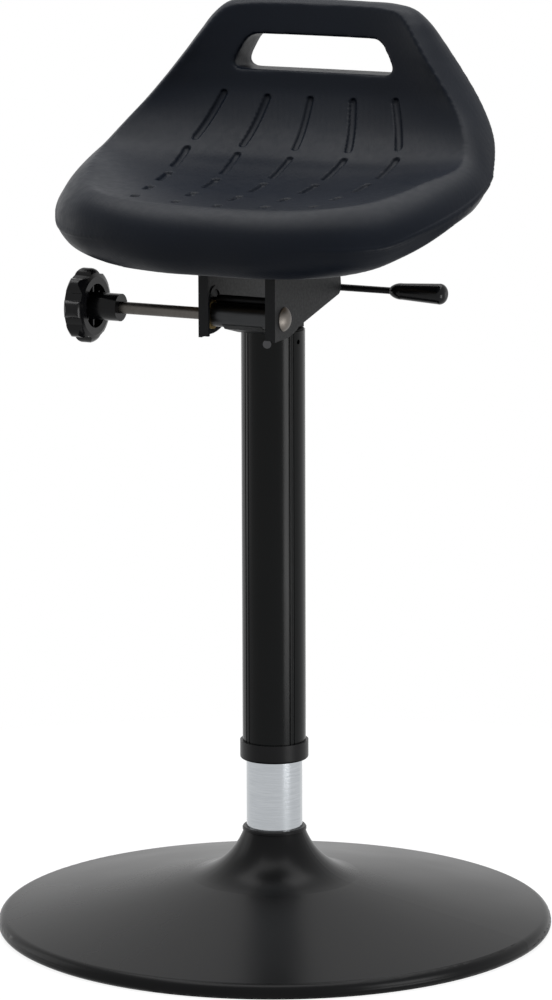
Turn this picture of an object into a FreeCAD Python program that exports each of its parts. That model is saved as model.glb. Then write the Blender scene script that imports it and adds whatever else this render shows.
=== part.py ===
import FreeCAD, Part
import math
import os

import Sketcher

# Perch stool: a weighted dish base, a height column over a chrome tube, a tilting
# tractor style seat with a slotted grip, a clamp knob on the left and a release
# lever on the right. Millimetres, Z up, origin on the floor under the column,
# the seat's front towards minus Y.

Vector = FreeCAD.Vector
Rotation = FreeCAD.Rotation

document = FreeCAD.newDocument("perch_stool")
sheet = document.addObject("Spreadsheet::Sheet", "dims")

# Driving dimensions.
DRIVERS = [
    ("base_radius", 247.5),
    ("base_sheet", 3.0),
    ("rim_height", 6.5),
    ("cone_outer_radius", 241.0),
    ("cone_outer_height", 13.9),
    ("cone_inner_radius", 76.0),
    ("cone_inner_height", 46.0),
    ("neck_radius", 27.4),
    ("neck_top", 88.0),
    ("neck_sweep", 64.6),
    ("ballast_bottom", 3.2),
    ("ballast_top", 13.2),
    ("ballast_hole", 45.0),
    ("ballast_radius", 190.0),
    ("hub_flange_radius", 90.0),
    ("hub_floor", 6.0),
    ("hub_screw_circle", 70.0),
    ("tube_radius", 25.0),
    ("tube_wall", 2.0),
    ("tube_top", 425.0),
    ("column_radius", 28.2),
    ("column_wall", 2.2),
    ("column_bottom", 157.5),
    ("column_top", 540.0),
    ("flute_radius", 0.85),
    ("collar_radius", 30.5),
    ("collar_bottom", 153.5),
    ("collar_top", 170.0),
    ("running_gap", 0.07),
    ("rod_radius", 5.0),
    ("rod_top", 460.0),
    ("cylinder_radius", 14.0),
    ("cylinder_bore", 12.2),
    ("cylinder_bottom", 294.0),
    ("cylinder_top", 520.0),
    ("stud_radius", 9.0),
    ("pin_radius", 3.0),
    ("pin_top", 556.3),
    ("head_half_width", 19.0),
    ("head_top", 548.0),
    ("pivot_back", -54.0),
    ("pivot_height", 558.5),
    ("barrel_radius", 10.5),
    ("barrel_half_length", 30.9),
    ("washer_radius", 12.8),
    ("washer_thickness", 2.0),
    ("bolt_radius", 4.0),
    ("bolt_head_radius", 10.6),
    ("bolt_head_height", 5.6),
    ("bolt_reach", 154.0),
    ("cheek_outside", 37.0),
    ("cheek_thickness", 3.0),
    ("cheek_top", 600.0),
    ("flange_width", 6.5),
    ("stop_back", -46.0),
    ("stop_height", 571.0),
    ("stop_radius", 4.0),
    ("stop_neck_radius", 1.8),
    ("plate_thickness", 3.5),
    ("board_bottom", 603.8),
    ("board_thickness", 12.0),
    ("board_width", 160.0),
    ("board_depth", 132.0),
    ("board_front", -92.0),
    ("sleeve_radius", 5.3),
    ("sleeve_end", 122.0),
    ("knob_hub_radius", 12.2),
    ("knob_rim_start", 146.5),
    ("knob_rim_end", 164.5),
    ("knob_core_radius", 28.6),
    ("knob_lobe_radius", 8.4),
    ("knob_lobe_circle", 24.8),
    ("shaft_across", 18.0),
    ("shaft_height", 569.0),
    ("shaft_radius", 3.0),
    ("shaft_back", 72.0),
    ("shaft_bend", 9.0),
    ("grip_start", 81.0),
    ("grip_end", 134.5),
    ("grip_radius", 9.3),
]
for row, (alias, number) in enumerate(DRIVERS, start=1):
    sheet.set("A%d" % row, alias.replace("_", " "))
    sheet.set("B%d" % row, "%g" % number)
    sheet.setAlias("B%d" % row, alias)
document.recompute()


# A length that carries its number and the sheet formula that drives it.
class Size:
    def __init__(self, number, formula):
        self.number = number
        self.formula = formula

    def __add__(self, other):
        other = as_size(other)
        return Size(self.number + other.number, "(%s + %s)" % (self.formula, other.formula))

    def __sub__(self, other):
        other = as_size(other)
        return Size(self.number - other.number, "(%s - %s)" % (self.formula, other.formula))

    def __mul__(self, other):
        other = as_size(other)
        return Size(self.number * other.number, "(%s * %s)" % (self.formula, other.formula))

    def __neg__(self):
        return Size(-self.number, "(-1 * %s)" % self.formula)

    __radd__ = __add__
    __rmul__ = __mul__

    def __rsub__(self, other):
        return as_size(other) - self


def as_size(value):
    if isinstance(value, Size):
        return value
    return Size(float(value), "(%.6f)" % value)


def cell(alias):
    return Size(float(sheet.get(alias)), "dims.%s" % alias)


def bind(target, path, value):
    target.setExpression(path, as_size(value).formula)


# Ready names for the sizes that many pieces share.
tube_radius = cell("tube_radius")
tube_bore = tube_radius - cell("tube_wall")
column_radius = cell("column_radius")
column_bore = column_radius - cell("column_wall")
running_gap = cell("running_gap")
pivot_back = cell("pivot_back")
pivot_height = cell("pivot_height")
bolt_radius = cell("bolt_radius")
cheek_outside = cell("cheek_outside")
cheek_inside = cheek_outside - cell("cheek_thickness")
floor_top = cell("ballast_top") + cell("hub_floor")

ALONG_X = Rotation(Vector(0, 1, 0), 90)
ALONG_MINUS_X = Rotation(Vector(0, 1, 0), -90)
ALONG_Y = Rotation(Vector(1, 0, 0), -90)
UPRIGHT = Rotation()

nodes = {}


def keep(label, feature):
    feature.Label = label
    nodes[label] = feature
    return feature


def place(feature, across, back, height, rotation=UPRIGHT):
    feature.Placement = FreeCAD.Placement(Vector(0, 0, 0), rotation)
    bind(feature, "Placement.Base.x", across)
    bind(feature, "Placement.Base.y", back)
    bind(feature, "Placement.Base.z", height)
    return feature


def new_sketch(body, role, name):
    plane = [item for item in body.Origin.OriginFeatures if item.Role == role][0]
    sketch = body.newObject("Sketcher::SketchObject", name)
    sketch.AttachmentSupport = [(plane, "")]
    sketch.MapMode = "FlatFace"
    return sketch


# The point half way along an arc between two ends; a positive radius bulges to
# the right of the way from start to end.
def arc_middle(start, end, radius):
    chord = end - start
    half = chord.Length / 2
    rise = abs(radius) - math.sqrt(radius * radius - half * half)
    side = Vector(chord.y, -chord.x, 0).normalize()
    return (start + end) * 0.5 + side * math.copysign(rise, radius)


# Draws a closed outline. A corner is (x, y) or (x, y, radius of the arc to the
# next corner); each corner and radius is tied to the sheet.
def draw_outline(sketch, corners):
    points = [Vector(as_size(c[0]).number, as_size(c[1]).number, 0) for c in corners]
    first = sketch.GeometryCount
    ends = []
    for index, corner in enumerate(corners):
        start = points[index]
        end = points[(index + 1) % len(points)]
        if len(corner) == 3:
            middle = arc_middle(start, end, as_size(corner[2]).number)
            line = sketch.addGeometry(Part.Arc(start, middle, end), False)
        else:
            line = sketch.addGeometry(Part.LineSegment(start, end), False)
        begins = (sketch.getPoint(line, 1) - start).Length < 1e-6
        ends.append((1, 2) if begins else (2, 1))
    for index, corner in enumerate(corners):
        line = first + index
        following = first + (index + 1) % len(corners)
        sketch.addConstraint(Sketcher.Constraint(
            "Coincident", line, ends[index][1], following, ends[(index + 1) % len(corners)][0]))
    for index, corner in enumerate(corners):
        line = first + index
        for axis, value in zip("XY", corner):
            number = as_size(value).number
            tie = sketch.addConstraint(Sketcher.Constraint(
                "Distance" + axis, -1, 1, line, ends[index][0], number))
            bind(sketch, "Constraints[%d]" % tie, value)
        if len(corner) == 3:
            value = abs(as_size(corner[2]).number)
            tie = sketch.addConstraint(Sketcher.Constraint("Radius", line, value))
            radius = as_size(corner[2])
            bind(sketch, "Constraints[%d]" % tie, radius if radius.number > 0 else -radius)


# A full turning about the piece's own Z axis from an outline of (radius, height).
def turned(label, corners):
    body = document.addObject("PartDesign::Body", label)
    sketch = new_sketch(body, "XZ_Plane", label + "_outline")
    draw_outline(sketch, corners)
    turning = body.newObject("PartDesign::Revolution", label + "_turning")
    turning.Profile = sketch
    turning.ReferenceAxis = (sketch, ["V_Axis"])
    turning.Angle = 360
    sketch.Visibility = False
    return keep(label, body)


# A plain ring: inner and outer radius, bottom and top.
def ring(label, inner, outer, bottom, top):
    return turned(label, [(inner, bottom), (outer, bottom), (outer, top), (inner, top)])


def cylinder(name, radius, length, across=0.0, back=0.0, height=0.0, rotation=UPRIGHT):
    shape = document.addObject("Part::Cylinder", name)
    bind(shape, "Radius", radius)
    bind(shape, "Height", length)
    return place(shape, across, back, height, rotation)


def box(name, size, corner):
    shape = document.addObject("Part::Box", name)
    for path, value in zip(("Length", "Width", "Height"), size):
        bind(shape, path, value)
    return place(shape, *corner)


def fused(name, pieces):
    union = document.addObject("Part::MultiFuse", name)
    union.Shapes = pieces
    return union


def cut(name, base, tool):
    difference = document.addObject("Part::Cut", name)
    difference.Base = base
    difference.Tool = tool
    return difference


def common(name, base, tool):
    overlap = document.addObject("Part::Common", name)
    overlap.Base = base
    overlap.Tool = tool
    return overlap


# A flat plate: an outline on an origin plane, raised along the plane's normal.
def plate(label, role, corners, start, thickness):
    body = document.addObject("PartDesign::Body", label)
    sketch = new_sketch(body, role, label + "_outline")
    draw_outline(sketch, corners)
    bind(sketch, "AttachmentOffset.Base.z", start)
    pad = body.newObject("PartDesign::Pad", label + "_pad")
    pad.Profile = sketch
    bind(pad, "Length", thickness)
    sketch.Visibility = False
    return body


# Base dish

def make_base_dish():
    sheet_gap = cell("base_sheet")
    cone_drop = (cell("cone_inner_height").number - cell("cone_outer_height").number)
    cone_run = (cell("cone_outer_radius").number - cell("cone_inner_radius").number)
    slope = math.atan2(cone_drop, cone_run)
    in_across = sheet_gap * math.sin(slope)
    in_down = sheet_gap * math.cos(slope)
    mouth = tube_radius + 0.15
    turned("base_dish", [
        (mouth, cell("neck_top")),
        (cell("neck_radius"), cell("neck_top"), cell("neck_sweep")),
        (cell("cone_inner_radius"), cell("cone_inner_height")),
        (cell("cone_outer_radius"), cell("cone_outer_height"), -7.8),
        (cell("base_radius"), cell("rim_height"), -4.5),
        (cell("base_radius") - 2.2, 1.0),
        (cell("base_radius") - 3.9, 1.0),
        (cell("base_radius") - 3.9, 6.0, 6.5),
        (cell("cone_outer_radius") - in_across, cell("cone_outer_height") - in_down),
        (cell("cone_inner_radius") - in_across, cell("cone_inner_height") - in_down,
         -(cell("neck_sweep") + sheet_gap)),
        (mouth, cell("neck_top") - 2.7),
    ])


# Ballast, floor ring and the hub that holds the tube

def make_base_inside():
    screw_circle = cell("hub_screw_circle")
    ballast = turned("ballast_blank", [
        (cell("ballast_hole"), cell("ballast_bottom")),
        (cell("ballast_radius"), cell("ballast_bottom")),
        (cell("ballast_radius"), cell("ballast_bottom") + 6.0),
        (cell("hub_flange_radius") + 10.0, cell("ballast_top")),
        (cell("ballast_hole"), cell("ballast_top")),
    ])
    hub = turned("hub_blank", [
        (4.06, cell("ballast_top")),
        (cell("hub_flange_radius"), cell("ballast_top")),
        (cell("hub_flange_radius"), floor_top),
        (36.0, floor_top),
        (36.0, 56.0),
        (31.0, 64.0),
        (tube_radius + 0.06, 64.0),
        (tube_radius + 0.06, floor_top),
        (4.06, floor_top),
    ])
    del nodes["ballast_blank"]
    del nodes["hub_blank"]
    shank_radius = 4.0
    head_radius = 6.5
    head_height = 4.6
    clearance = 0.15
    screws = []
    holes = []
    for index in range(4):
        angle = math.radians(45 + 90 * index)
        across = screw_circle * math.cos(angle)
        back = screw_circle * math.sin(angle)
        low = cell("ballast_bottom") + 0.2
        screws.append(fused("hub_screw_%d" % index, [
            cylinder("hub_screw_head_%d" % index, head_radius, head_height, across, back, low),
            cylinder("hub_screw_shank_%d" % index, shank_radius, floor_top - low,
                     across, back, low),
        ]))
        holes.append(cylinder("hub_head_hole_%d" % index, head_radius + clearance,
                              head_height + 1.35, across, back, low - 1.2))
        holes.append(cylinder("hub_shank_hole_%d" % index, shank_radius + clearance, 40.0,
                              across, back, 0.0))
    hole_set = fused("hub_screw_holes", holes)
    keep("ballast_plate", cut("ballast_plate", ballast, hole_set))
    keep("base_hub", cut("base_hub", hub, hole_set))
    keep("hub_screws", compound("hub_screws", screws))
    turned("floor_ring", [
        (cell("base_radius") - 10.5, 0.0),
        (cell("base_radius") - 4.1, 0.0),
        (cell("base_radius") - 4.1, 5.5),
        (cell("base_radius") - 7.5, 8.6),
        (cell("base_radius") - 10.5, 8.6),
    ])


def compound(name, pieces):
    group = document.addObject("Part::Compound", name)
    group.Links = pieces
    return group


# Neck ring, chrome tube and its top guide bush

def make_lower_column():
    turned("neck_ring", [
        (tube_radius + 0.15, cell("neck_top") + 0.05),
        (cell("neck_radius") + 1.2, cell("neck_top") + 0.05),
        (cell("neck_radius") + 1.2, cell("neck_top") + 2.0),
        (cell("neck_radius") + 0.2, cell("neck_top") + 3.2),
        (tube_radius + 0.15, cell("neck_top") + 3.2),
    ])
    ring("lower_tube", tube_bore, tube_radius, floor_top, cell("tube_top"))
    turned("tube_bush", [
        (20.0, cell("tube_top") - 20.0),
        (tube_bore - 0.05, cell("tube_top") - 20.0),
        (tube_bore - 0.05, cell("tube_top")),
        (column_bore - running_gap, cell("tube_top")),
        (column_bore - running_gap, cell("tube_top") + 6.0),
        (20.0, cell("tube_top") + 6.0),
    ])


# Thrust bearing and gas spring rod

def make_rod():
    race = 2.0
    balls = 3.0
    race_low = floor_top
    cage_low = race_low + race + 0.05
    race_high = cage_low + balls + 0.05
    shoulder = race_high + race
    rod_end = 4.0
    ring("lower_race", 5.0, 14.0, race_low, race_low + race)
    ring("bearing_cage", 4.3, 13.0, cage_low, cage_low + balls)
    ring("upper_race", rod_end + 0.05, 14.0, race_high, race_high + race)
    piston_low = cell("rod_top") - 14.0
    turned("piston_rod", [
        (0.0, 8.0),
        (rod_end, 8.0),
        (rod_end, shoulder),
        (cell("rod_radius"), shoulder),
        (cell("rod_radius"), piston_low),
        (rod_end, piston_low),
        (rod_end, cell("rod_top")),
        (0.0, cell("rod_top")),
    ])
    ring("piston", rod_end + 0.05, cell("cylinder_bore") - 0.1, piston_low, cell("rod_top"))
    ring("rod_clip", rod_end + 0.03, 8.0, cell("ballast_top") - 2.8, cell("ballast_top") - 0.3)


# Outer column: a fluted tube, its collar bush and the gas cylinder

FLUTE_PAIRS = (60.0, 150.0, 240.0, 330.0)
FLUTE_SPREAD = 4.4
COLUMN_SCREW_TURN = 16.0
COLUMN_SCREW_HEIGHT = 531.0


# The direction that lies this many degrees from the front, turning to the right.
def from_front(degrees):
    angle = math.radians(degrees - 90.0)
    return math.cos(angle), math.sin(angle)


def make_column():
    blank = turned("column_blank", [
        (column_bore, cell("column_bottom")),
        (column_radius, cell("column_bottom")),
        (column_radius, cell("column_top")),
        (column_bore, cell("column_top")),
    ])
    del nodes["column_blank"]
    length = cell("column_top") - cell("column_bottom") + 2.0
    tools = []
    for pair in FLUTE_PAIRS:
        for side in (-1, 1):
            across, back = from_front(pair + side * FLUTE_SPREAD)
            tools.append(cylinder("flute_%d_%d" % (pair, side + 1), cell("flute_radius"), length,
                                  column_radius * across, column_radius * back,
                                  cell("column_bottom") - 1.0))
    screws = []
    for index in range(2):
        turn = COLUMN_SCREW_TURN + 180.0 * index
        across, back = from_front(turn)
        outward = Rotation(Vector(0, 0, 1), Vector(across, back, 0))
        head_start = column_radius + 0.05
        screws.append(fused("column_screw_%d" % index, [
            cylinder("column_screw_head_%d" % index, 3.8, 2.2, head_start * across,
                     head_start * back, COLUMN_SCREW_HEIGHT, outward),
            cylinder("column_screw_shank_%d" % index, 2.4, 9.0, (head_start - 8.95) * across,
                     (head_start - 8.95) * back, COLUMN_SCREW_HEIGHT, outward),
        ]))
        tools.append(cylinder("column_screw_hole_%d" % index, 2.5, 16.0, 20.0 * across,
                              20.0 * back, COLUMN_SCREW_HEIGHT, outward))
    pin_turn = 77.5
    for index in range(2):
        across, back = from_front(pin_turn + 180.0 * index)
        outward = Rotation(Vector(0, 0, 1), Vector(across, back, 0))
        tools.append(cylinder("cross_hole_%d" % index, 2.1, 16.0, 20.0 * across, 20.0 * back,
                              COLUMN_SCREW_HEIGHT, outward))
    keep("column_profile", cut("column_profile", blank, fused("column_tools", tools)))
    keep("column_screws", compound("column_screws", screws))
    turned("column_collar", [
        (tube_radius + running_gap, cell("collar_bottom")),
        (cell("collar_radius") - 2.0, cell("collar_bottom"), 2.0),
        (cell("collar_radius"), cell("collar_bottom") + 2.0),
        (cell("collar_radius"), cell("collar_top")),
        (column_radius + 0.05, cell("collar_top")),
        (column_radius + 0.05, cell("column_bottom") - 0.05),
        (column_bore - 0.05, cell("column_bottom") - 0.05),
        (column_bore - 0.05, cell("column_bottom") + 42.0),
        (tube_radius + running_gap, cell("column_bottom") + 42.0),
    ])
    turned("gas_cylinder", [
        (cell("cylinder_bore"), cell("cylinder_bottom")),
        (cell("cylinder_radius"), cell("cylinder_bottom")),
        (cell("cylinder_radius"), cell("cylinder_top")),
        (cell("stud_radius"), cell("cylinder_top")),
        (cell("stud_radius"), cell("head_top")),
        (cell("pin_radius") + 0.06, cell("head_top")),
        (cell("pin_radius") + 0.06, cell("cylinder_top") - 4.0),
        (cell("cylinder_bore"), cell("cylinder_top") - 4.0),
    ])
    ring("cylinder_gland", cell("rod_radius") + 0.06, cell("cylinder_bore") - 0.05,
         cell("cylinder_bottom"), cell("cylinder_bottom") + 6.0)


# Column head: a plug in the column with a saddle for the pivot barrel, and the lever mount

def make_head():
    body = plate("head_block", "YZ_Plane", [
        (pivot_back - 8.0, 551.0),
        (pivot_back - 3.0, 546.8),
        (-30.0, cell("column_top") + 0.05),
        (23.0, cell("column_top") + 0.05),
        (23.0, cell("head_top")),
        (-14.0, cell("head_top")),
        (-36.0, cell("head_top") + 1.0),
        (-43.0, 556.0),
        (pivot_back - 8.0, 556.0),
    ], -cell("head_half_width"), cell("head_half_width") * 2)
    plug_low = cell("cylinder_top") + 1.0
    plug = cylinder("head_plug", column_bore - 0.05, cell("column_top") - plug_low + 1.0,
                    0.0, 0.0, plug_low)
    tools = [
        cylinder("head_stud_hole", cell("stud_radius") + 0.05, 60.0, 0.0, 0.0, 500.0),
        cylinder("head_saddle", cell("barrel_radius") + 0.05, 80.0, -40.0, pivot_back,
                 pivot_height, ALONG_X),
    ]
    for index in range(2):
        across, back = from_front(COLUMN_SCREW_TURN + 180.0 * index)
        outward = Rotation(Vector(0, 0, 1), Vector(across, back, 0))
        tools.append(cylinder("head_screw_hole_%d" % index, 2.5, 20.0, 16.0 * across,
                              16.0 * back, COLUMN_SCREW_HEIGHT, outward))
    solid = fused("head_solid", [body, plug])
    keep("column_head", cut("column_head", solid, fused("head_tools", tools)))
    barrel = ring("pivot_barrel", bolt_radius + 0.06, cell("barrel_radius"),
                  -cell("barrel_half_length"), cell("barrel_half_length"))
    place(barrel, 0.0, pivot_back, pivot_height, ALONG_X)
    lug = (12.0, 4.0, cell("shaft_height") + 6.0 - cell("head_top") - 0.05)
    left = cell("shaft_across") - 6.0
    low = cell("head_top") + 0.05
    mount = fused("mount_solid", [
        box("mount_base", (12.0, 34.0, 2.0), (left, -12.0, low)),
        box("mount_front_lug", lug, (left, -12.0, low)),
        box("mount_rear_lug", lug, (left, 18.0, low)),
    ])
    bore = cylinder("mount_bore", cell("shaft_radius") + 0.07, 60.0, cell("shaft_across"), -20.0,
                    cell("shaft_height"), ALONG_Y)
    keep("lever_mount", cut("lever_mount", mount, bore))


# Release pin, finger, bent rod and grip

def make_lever():
    turned("release_pin", [
        (0.0, cell("cylinder_top") - 2.0),
        (cell("pin_radius"), cell("cylinder_top") - 2.0),
        (cell("pin_radius"), cell("pin_top")),
        (0.0, cell("pin_top")),
    ])
    across = cell("shaft_across")
    height = cell("shaft_height")
    radius = cell("shaft_radius")
    bend = cell("shaft_bend")
    start = -14.5
    turn_back = cell("shaft_back") - bend
    elbow = document.addObject("Part::Torus", "rod_elbow")
    bind(elbow, "Radius1", bend)
    bind(elbow, "Radius2", radius)
    elbow.Angle3 = 90
    place(elbow, across + bend, turn_back, height, Rotation(Vector(0, 0, 1), 90))
    rod_parts = [
        cylinder("rod_shaft", radius, turn_back - start, across, start, height, ALONG_Y),
        elbow,
        cylinder("rod_arm", radius, cell("grip_end") - 14.0 - across - bend, across + bend,
                 cell("shaft_back"), height, ALONG_X),
    ]
    keep("release_rod", fused("release_rod", rod_parts))
    finger = plate("finger_arm", "XZ_Plane", [
        (across - 2.0, height + 5.5),
        (-5.0, height - 6.0),
        (-5.0, height - 11.0),
        (0.0, cell("pin_top") + 0.3),
        (3.0, cell("pin_top") + 0.6),
        (across - 1.0, height - 5.5),
    ], -4.0, 8.0)
    boss = cylinder("finger_boss", 5.9, 8.0, across, -4.0, height, ALONG_Y)
    bore = cylinder("finger_bore", radius + 0.03, 30.0, across, -15.0, height, ALONG_Y)
    keep("release_finger", cut("release_finger", fused("finger_solid", [finger, boss]), bore))
    clip = ring("shaft_clip", radius + 0.03, 5.6, 0.0, 1.4)
    place(clip, across, -13.9, height, ALONG_Y)
    length = cell("grip_end") - cell("grip_start")
    grip_nose = 6.0
    grip = turned("lever_grip", [
        (radius + 0.03, 0.0),
        (radius + 0.9, 0.0, 16.0),
        (cell("grip_radius") - 2.0, 11.0),
        (cell("grip_radius"), length - grip_nose, 7.0),
        (3.0, length),
        (0.0, length),
        (0.0, length - 13.5),
        (radius + 0.03, length - 13.5),
    ])
    place(grip, cell("grip_start"), cell("shaft_back"), height, ALONG_X)


# Tilt bracket: two cheeks, a top plate, the pivot bolt and its washers, and a stop bar

def make_bracket():
    # The left cheek reaches lower at its rear corner than the right one.
    for label, side, rear_low in (("cheek_left", -1, 553.5), ("cheek_right", 1, 564.8)):
        outline = [
            (-72.0, cell("cheek_top")),
            (-72.0, 540.5),
            (-55.0, 541.0, 60.0),
            (-24.0, 548.0),
            (54.0, rear_low, 9.0),
            (62.0, rear_low + 6.2),
            (58.0, cell("cheek_top")),
        ]
        start = cheek_inside if side > 0 else -cheek_outside
        sheet_body = plate(label + "_sheet", "YZ_Plane", outline, start, cell("cheek_thickness"))
        flange_left = cheek_inside - cell("flange_width")
        flange_x = flange_left if side > 0 else -cheek_inside - 1.0
        flange = box(label + "_flange",
                     (cell("flange_width") + 1.0, cell("cheek_thickness"),
                      cell("cheek_top") - 541.5),
                     (flange_x, -72.0, 541.5))
        pad_x = cheek_inside - 0.95 if side > 0 else -cheek_inside - 1.0
        bolt_pad = cylinder(label + "_bolt_pad", 9.5, 1.95, pad_x, pivot_back, pivot_height,
                            ALONG_X)
        ring_x = cheek_inside - 0.9 if side > 0 else -cheek_inside - 1.0
        stop_ring = cut(label + "_stop_ring",
                        cylinder(label + "_ring_out", 11.5, 1.9, ring_x, cell("stop_back"),
                                 cell("stop_height"), ALONG_X),
                        cylinder(label + "_ring_in", 8.3, 30.0, ring_x - 10.0, cell("stop_back"),
                                 cell("stop_height"), ALONG_X))
        blank = fused(label + "_blank", [sheet_body, flange, bolt_pad, stop_ring])
        bore = cylinder(label + "_bore", bolt_radius + 0.1, 100.0, -50.0, pivot_back,
                        pivot_height, ALONG_X)
        keep(label, cut(label, blank, bore))
    plate_low = cell("cheek_top") + 0.05
    screw_spots = [(22.0 * side, back) for side in (-1, 1) for back in (-48.0, 26.0)]
    top = box("plate_blank", (92.0, 126.0, cell("plate_thickness")), (-46.0, -70.0, plate_low))
    holes = []
    screws = []
    inserts = []
    for index, (across, back) in enumerate(screw_spots):
        holes.append(cylinder("plate_hole_%d" % index, 3.2, 20.0, across, back, 590.0))
        screws.append(fused("bracket_screw_%d" % index, [
            cylinder("bracket_screw_head_%d" % index, 5.0, 3.2, across, back, plate_low - 3.25),
            cylinder("bracket_screw_shank_%d" % index, 3.0, 14.0, across, back,
                     plate_low - 3.25),
        ]))
        insert = ring("insert_%d" % index, 3.05, 5.5, cell("board_bottom") + 0.2,
                      cell("board_bottom") + 10.0)
        del nodes["insert_%d" % index]
        inserts.append(place(insert, across, back, 0.0))
    keep("bracket_plate", cut("bracket_plate", top, fused("plate_holes", holes)))
    keep("bracket_screws", compound("bracket_screws", screws))
    keep("board_inserts", compound("board_inserts", inserts))
    board = box("board_blank",
                (cell("board_width"), cell("board_depth"), cell("board_thickness")),
                (cell("board_width") * -0.5, cell("board_front"), cell("board_bottom")))
    board_holes = [cylinder("board_hole_%d" % index, 5.55, 40.0, across, back, 590.0)
                   for index, (across, back) in enumerate(screw_spots)]
    keep("seat_board", cut("seat_board", board, fused("board_holes", board_holes)))
    for label, side in (("washer_left", -1), ("washer_right", 1)):
        washer = ring(label, bolt_radius + 0.1, cell("washer_radius"), 0.0,
                      cell("washer_thickness"))
        middle = cell("barrel_half_length") + 0.1
        start = middle if side > 0 else -middle - cell("washer_thickness")
        place(washer, start, pivot_back, pivot_height, ALONG_X)
    stop_length = (cheek_inside - 0.05) * 2
    stop_neck = cheek_inside - cell("barrel_half_length") + 0.25
    stop = turned("stop_bar", [
        (0.0, 0.0),
        (cell("stop_neck_radius"), 0.0),
        (cell("stop_neck_radius"), stop_neck),
        (cell("stop_radius"), stop_neck),
        (cell("stop_radius"), stop_length - stop_neck),
        (cell("stop_neck_radius"), stop_length - stop_neck),
        (cell("stop_neck_radius"), stop_length),
        (0.0, stop_length),
    ])
    place(stop, -(cheek_inside - 0.05), cell("stop_back"), cell("stop_height"), ALONG_X)
    head_bulge = 12.9
    bolt = turned("pivot_bolt", [
        (0.0, 0.0),
        (bolt_radius, 0.0),
        (bolt_radius, cell("bolt_reach") + cheek_outside + 0.05),
        (cell("bolt_head_radius"), cell("bolt_reach") + cheek_outside + 0.05),
        (cell("bolt_head_radius"), cell("bolt_reach") + cheek_outside + 0.6, head_bulge),
        (1.0, cell("bolt_reach") + cheek_outside + cell("bolt_head_height")),
        (0.0, cell("bolt_reach") + cheek_outside + cell("bolt_head_height")),
    ])
    place(bolt, -cell("bolt_reach"), pivot_back, pivot_height, ALONG_X)


# Clamp sleeve and star knob

def make_clamp():
    sleeve = ring("clamp_sleeve", bolt_radius + 0.08, cell("sleeve_radius"), 0.0,
                  cell("sleeve_end") - cheek_outside - 0.1)
    place(sleeve, -cell("sleeve_end"), pivot_back, pivot_height, ALONG_X)
    knob_end = cell("knob_rim_end") - cell("sleeve_end")
    hub_length = knob_end - 3.0
    rim_low = cell("knob_rim_start") - cell("sleeve_end")
    rim_high = knob_end
    lobes = []
    ribs = []
    lobe_count = 8
    for index in range(lobe_count):
        angle = math.radians(360.0 / lobe_count * index)
        lobes.append(cylinder("knob_lobe_%d" % index, cell("knob_lobe_radius"),
                              rim_high - rim_low,
                              cell("knob_lobe_circle") * math.cos(angle),
                              cell("knob_lobe_circle") * math.sin(angle), rim_low))
        rib = document.addObject("Part::Box", "knob_rib_%d" % index)
        rib.Length = 12.0
        rib.Width = 2.0
        bind(rib, "Height", rim_high - rim_low - 5.0)
        turn = Rotation(Vector(0, 0, 1), math.degrees(angle))
        corner = turn.multVec(Vector(11.5, -1.0, 0))
        place(rib, corner.x, corner.y, rim_low + 3.0, turn)
        ribs.append(rib)
    core = cylinder("knob_core", cell("knob_core_radius"), rim_high - rim_low, 0.0, 0.0, rim_low)
    hollow = cylinder("knob_hollow", 19.5, rim_high - rim_low - 4.0, 0.0, 0.0, rim_low - 1.0)
    rounding = turned("knob_rounding", [
        (0.0, rim_low - 0.5),
        (24.0, rim_low - 0.5),
        (29.0, rim_low + 1.0, 7.0),
        (33.4, rim_low + 7.5),
        (33.4, rim_high - 7.0, 6.0),
        (28.0, rim_high - 0.8, 24.0),
        (16.0, rim_high + 0.5),
        (0.0, rim_high + 0.5),
    ])
    del nodes["knob_rounding"]
    star = common("knob_body", fused("knob_star", lobes + [core]), rounding)
    shell = cut("knob_shell", star, hollow)
    hub = cylinder("knob_hub", cell("knob_hub_radius"), hub_length + 2.0, 0.0, 0.0, 0.05)
    solid = fused("knob_solid", [shell, hub] + ribs)
    bore = cylinder("knob_bore", bolt_radius + 0.3, hub_length, 0.0, 0.0, -1.0)
    nut_low = 19.0
    nut_high = 33.0
    pocket = cylinder("knob_pocket", 7.05, nut_high - nut_low + 0.1, 0.0, 0.0, nut_low - 0.05)
    knob = keep("star_knob", cut("star_knob", solid, fused("knob_tools", [bore, pocket])))
    place(knob, -cell("sleeve_end"), pivot_back, pivot_height, ALONG_MINUS_X)
    nut = ring("knob_nut", bolt_radius + 0.06, 7.0, nut_low, nut_high)
    place(nut, -cell("sleeve_end"), pivot_back, pivot_height, ALONG_MINUS_X)


# Seat pad

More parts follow.
